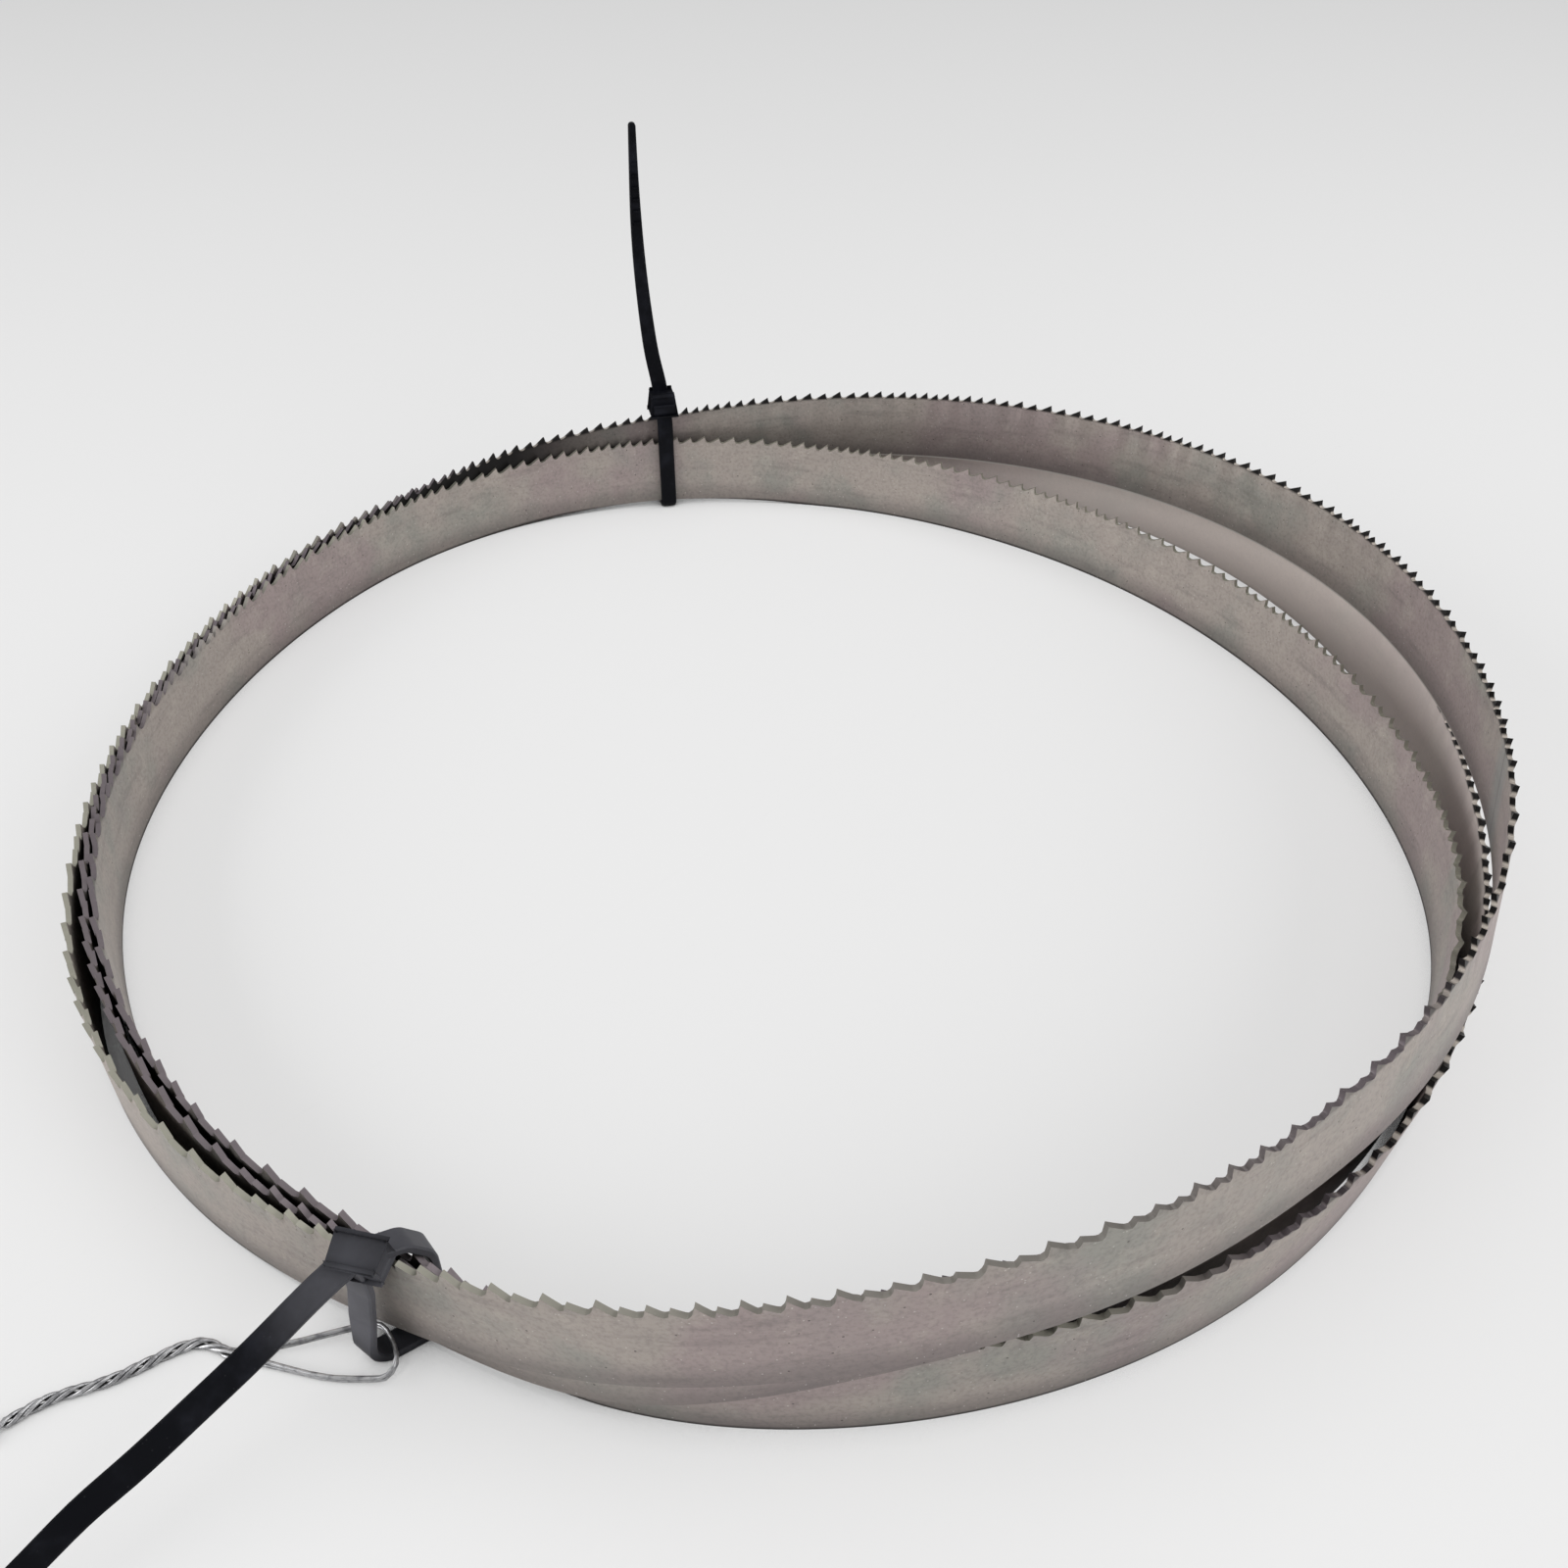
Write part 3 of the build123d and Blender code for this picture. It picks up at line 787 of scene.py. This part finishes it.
def makeFrontTie():
    bm = bmesh.new()
    thick = frontTie["thickness"]
    loop = frontTie["loop"]
    corners = [Vector(p[:3]) * mm for p in loop]
    path = rounded(corners, [p[3] * mm for p in loop], frontTie["loopSteps"])

    def widthAt(index, heading):
        # the strap turns a little on itself between the corners
        weights = [1 / ((path[index] - c).length + frontTie["blend"]) ** 2 for c in corners]
        turn = math.radians(sum(w * p[4] for w, p in zip(weights, loop)) / sum(weights))
        return Vector((math.cos(turn), math.sin(turn), 0))

    sweepStrap(bm, path, widthAt, [frontTie["width"]] * len(path), thick)
    place, length = smoothThrough([Vector(p) * mm for p in frontTie["tail"]], False)
    steps = frontTie["tailSteps"]
    points = [Vector(p) for p in place(np.linspace(0, length, steps))]
    reach = np.linalg.norm(np.diff(np.array(frontTie["tail"]), axis=0), axis=1)
    reach = np.concatenate([[0], np.cumsum(reach)]) / reach.sum()
    widths = list(np.interp(np.linspace(0, 1, steps), reach, frontTie["tailWidths"]) * mm)

    def tailAcross(index, heading):
        turns = frontTie["tailNormals"]
        at = 2 * (len(turns) - 1) * index / (steps - 1)
        first = min(int(at), len(turns) - 2)
        return heading.cross(Vector(turns[first]).lerp(Vector(turns[first + 1]), min(at - first, 1)))

    sweepStrap(bm, points, tailAcross, widths, thick)
    head = Vector(frontTie["headMiddle"])
    wide = Vector(frontTie["headWide"]).normalized()
    leaving = Vector(frontTie["headLeaving"])
    leaving = (leaving - wide * leaving.dot(wide)).normalized()
    upright = leaving.cross(wide)
    if upright.z < 0:
        upright = -upright
    axes = (wide, upright, leaving)
    easedBox(bm, head, axes, frontTie["head"], frontTie["headBevel"],
             frontTie["headTaper"], frontTie["slot"])
    back, down = frontTie["pawl"]
    easedBox(bm, head - leaving * back - upright * down, axes, frontTie["pawlSize"], frontTie["pawlBevel"])
    bmesh.ops.recalc_face_normals(bm, faces=bm.faces)
    return newObject(bm, "frontCableTie", nylonPaint, "front_tie", frontTie["sharpFrom"])


makeBackTie()
makeFrontTie()
print("cable ties made")


wire = {
    "sharpFrom": 60,
    "diameter": 0.45 * mm,
    "lay": 0.39 * mm,        # strands' distance from the middle of the twist
    "phases": (0, 72, 180, 252),
    "turns": 3.6,
    "steps": 40,
    "apart": 0.23,           # mm that the two runs of the loop lie above and below its middle line
    "twist": ((-55.3, -86.8, 0.55), (-58.3, -85.6, 0.55), (-62.4, -87.2, 0.55), (-67.3, -90.0, 0.6),
              (-71.6, -91.6, 0.65), (-75.2, -94.2, 0.7)),
    "loop": ((-49.9, -86.1, 0.9), (-44.5, -84.7, 1.3), (-41.5, -84.3, 1.9), (-39.7, -84.5, 2.2),
             (-38.4, -86.3, 2.2), (-37.5, -88.2, 1.9), (-38.4, -89.8, 1.2), (-40.4, -89.6, 0.8),
             (-44.6, -89.5, 0.6), (-49.7, -88.2, 0.6)),
    "eye": ((-76.4, -94.6, 0.9), (-77.6, -95.2, 0.8), (-77.4, -96.3, 0.6), (-76.3, -95.8, 0.4)),
    "ends": ((-77.3, -93.6, 0.6), (-76.0, -96.6, 0.4)),
}


def makeWire():
    twist, length = smoothThrough([Vector(p) for p in wire["twist"]], False)
    steps = wire["steps"]
    spots = [Vector(p) for p in twist(np.linspace(0, length, steps + 1))]

    def strand(phase):
        points = []
        for index, spot in enumerate(spots):
            heading = (spots[min(index + 1, steps)] - spots[max(index - 1, 0)]).normalized()
            side = heading.cross(up).normalized()
            over = side.cross(heading)
            angle = phase + 2 * math.pi * wire["turns"] * index / steps
            points.append(spot + (side * math.cos(angle) + over * math.sin(angle)) * (wire["lay"] / mm))
        return points

    loopHigh = [Vector(p) + up * wire["apart"] for p in wire["loop"]]
    loopLow = [Vector(p) - up * wire["apart"] for p in wire["loop"]]
    a, b, c, d = (strand(math.radians(phase)) for phase in wire["phases"])
    path = [Vector(wire["ends"][0])] + a[::-1] + loopHigh + b
    path += [Vector(p) for p in wire["eye"]] + d[::-1] + loopLow + c + [Vector(wire["ends"][1])]
    line = bpy.data.curves.new("wireLine", "CURVE")
    line.dimensions = "3D"
    spline = line.splines.new("NURBS")
    spline.points.add(len(path) - 1)
    for point, spot in zip(spline.points, path):
        point.co = (*(spot * mm), 1)
    spline.order_u = 3
    spline.use_endpoint_u = True
    line.resolution_u = 2
    line.bevel_depth = wire["diameter"] / 2
    line.bevel_resolution = 2
    line.use_fill_caps = True
    helper = bpy.data.objects.new("wireLine", line)
    scene.collection.objects.link(helper)
    bpy.context.view_layer.update()
    mesh = bpy.data.meshes.new_from_object(helper.evaluated_get(bpy.context.evaluated_depsgraph_get()))
    bm = bmesh.new()
    bm.from_mesh(mesh)
    bpy.data.objects.remove(helper)
    bmesh.ops.recalc_face_normals(bm, faces=bm.faces)
    return newObject(bm, "galvanisedWire", zincPaint, "twisted_wire", wire["sharpFrom"])


makeWire()
print("wire made")


stage = {
    "floor": (0.80, 0.80, 0.80),
    "dark": (0.01, 0.01, 0.01),
    "roughness": 0.7,
    "specular": 0.15,
    "edge": 3.0,
    "world": 0.30,
    "slot": 7.0 * mm,        # how near a strand has to be to darken the floor
    "slotShade": (0.20, 0.41, 6),
    "seen": (0.84, 0.80),    # brightness the camera sees, at the object and far behind it
    "seenFrom": (0.05, 0.35),
    "flat": 0.55,            # share of that even brightness in the floor the camera sees
    # soft boxes, all turned to the middle of the coil: place, size, watts
    "lamps": {
        "topSoftBox": ((0.05, 0.10, 0.85), (0.9, 0.9), 2.3),
        "leftSoftBox": ((-0.72, -0.26, 0.36), (0.7, 0.5), 4.6),
        "rightSoftBox": ((0.65, -0.22, 0.42), (0.7, 0.6), 3.9),
        "frontSoftBox": ((-0.18, -0.75, 0.44), (0.9, 0.45), 0.4),
    },
}


def makeStage():
    bm = bmesh.new()
    bmesh.ops.create_grid(bm, x_segments=1, y_segments=1, size=stage["edge"])
    mesh = bpy.data.meshes.new("floor")
    bm.to_mesh(mesh)
    bm.free()
    floor = bpy.data.objects.new("floor", mesh)
    scene.collection.objects.link(floor)
    material = bpy.data.materials.new("paleFloor")
    material.use_nodes = True
    tree = material.node_tree
    shader = tree.nodes["Principled BSDF"]
    shader.inputs["Roughness"].default_value = stage["roughness"]
    shader.inputs["Specular IOR Level"].default_value = stage["specular"]
    # painted shade, nearly black, on the floor in the slots between the strands
    clear = closeness(tree, stage["slot"], *stage["slotShade"])
    feed(tree, shader, "Base Color", mix(tree, clear, stage["dark"], stage["floor"]))
    axes = axesOf(tree, tree.nodes.new("ShaderNodeTexCoord").outputs["Object"])
    away = tree.nodes.new("ShaderNodeMapRange")
    for name, value in zip(("From Min", "From Max", "To Min", "To Max"), stage["seenFrom"] + stage["seen"]):
        away.inputs[name].default_value = value
    tree.links.new(axes["Y"], away.inputs["Value"])
    glow = tree.nodes.new("ShaderNodeEmission")
    tree.links.new(scaled(tree, away.outputs["Result"], clear), glow.inputs["Strength"])
    blend = tree.nodes.new("ShaderNodeMixShader")
    seen = tree.nodes.new("ShaderNodeLightPath").outputs["Is Camera Ray"]
    tree.links.new(scaled(tree, seen, stage["flat"]), blend.inputs[0])
    tree.links.new(shader.outputs[0], blend.inputs[1])
    tree.links.new(glow.outputs[0], blend.inputs[2])
    tree.links.new(blend.outputs[0], tree.nodes["Material Output"].inputs["Surface"])
    mesh.materials.append(material)

    # the world lights at a lower strength than the camera sees
    world = bpy.data.worlds.new("studio")
    scene.world = world
    world.use_nodes = True
    tree = world.node_tree
    background = tree.nodes["Background"]
    background.inputs["Color"].default_value = (1, 1, 1, 1)
    seen = tree.nodes.new("ShaderNodeLightPath").outputs["Is Camera Ray"]
    more = scaled(tree, seen, stage["seen"][1] - stage["world"])
    tree.links.new(calc(tree, "ADD", more, stage["world"]), background.inputs["Strength"])


def softLamp(name, spot, size, power):
    lamp = bpy.data.lights.new(name, "AREA")
    lamp.shape = "RECTANGLE"
    lamp.size, lamp.size_y = size
    lamp.energy = power
    made = bpy.data.objects.new(name, lamp)
    scene.collection.objects.link(made)
    made.location = spot
    made.rotation_euler = (-Vector(spot)).to_track_quat("-Z", "Y").to_euler()


makeStage()
for lampName, (spot, size, power) in stage["lamps"].items():
    softLamp(lampName, spot, size, power)


view = {
    "spot": (1.3 * mm, -163.8 * mm, 138.46 * mm),
    "tilt": 50.79,
    "lens": 33.04,
    "sensor": 36,
    "nearest": 5 * mm,
}


def makeCamera():
    lens = bpy.data.cameras.new("photoCamera")
    lens.lens = view["lens"]
    lens.sensor_width = view["sensor"]
    lens.sensor_fit = "HORIZONTAL"
    lens.clip_start = view["nearest"]
    camera = bpy.data.objects.new("photoCamera", lens)
    scene.collection.objects.link(camera)
    camera.location = view["spot"]
    camera.rotation_euler = (math.radians(view["tilt"]), 0, 0)
    scene.camera = camera


makeCamera()
scene.view_settings.view_transform = "Standard"
print("stage set")
